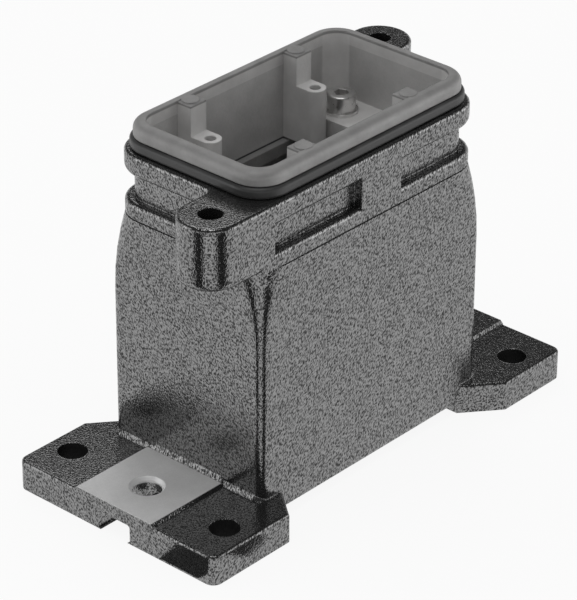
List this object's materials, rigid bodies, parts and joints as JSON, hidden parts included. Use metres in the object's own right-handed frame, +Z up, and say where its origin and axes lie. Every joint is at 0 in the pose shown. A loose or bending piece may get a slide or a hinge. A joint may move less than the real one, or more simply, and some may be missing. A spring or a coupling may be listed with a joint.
{
  "type": "rectangular connector surface housing",
  "caption": "Tall surface mounting housing for a rectangular contact insert, with feet, screw lugs on opposite corners and a sealed open rim.",
  "frame": {"origin": "on the mounting plane under the middle of the housing", "axes": "+X along the long side, towards the hidden cable entry; +Y across; +Z up, out of the opening for the insert"},
  "size_m": [0.154, 0.0766, 0.1092],
  "materials": {
    "black_paint": "black wrinkle powder coat on die-cast aluminium, bare on the rim, inside the frame and on one earth pad",
    "seal_rubber": "satin",
    "screw_steel": "zinc plated steel"
  },
  "bodies": {
    "root": {"base_housing": "black_paint", "top_frame": "black_paint", "rim_seal": "seal_rubber", "joint_seal": "seal_rubber", "frame_screws": "screw_steel", "screw_washers": "screw_steel"}
  },
  "joints": []
}
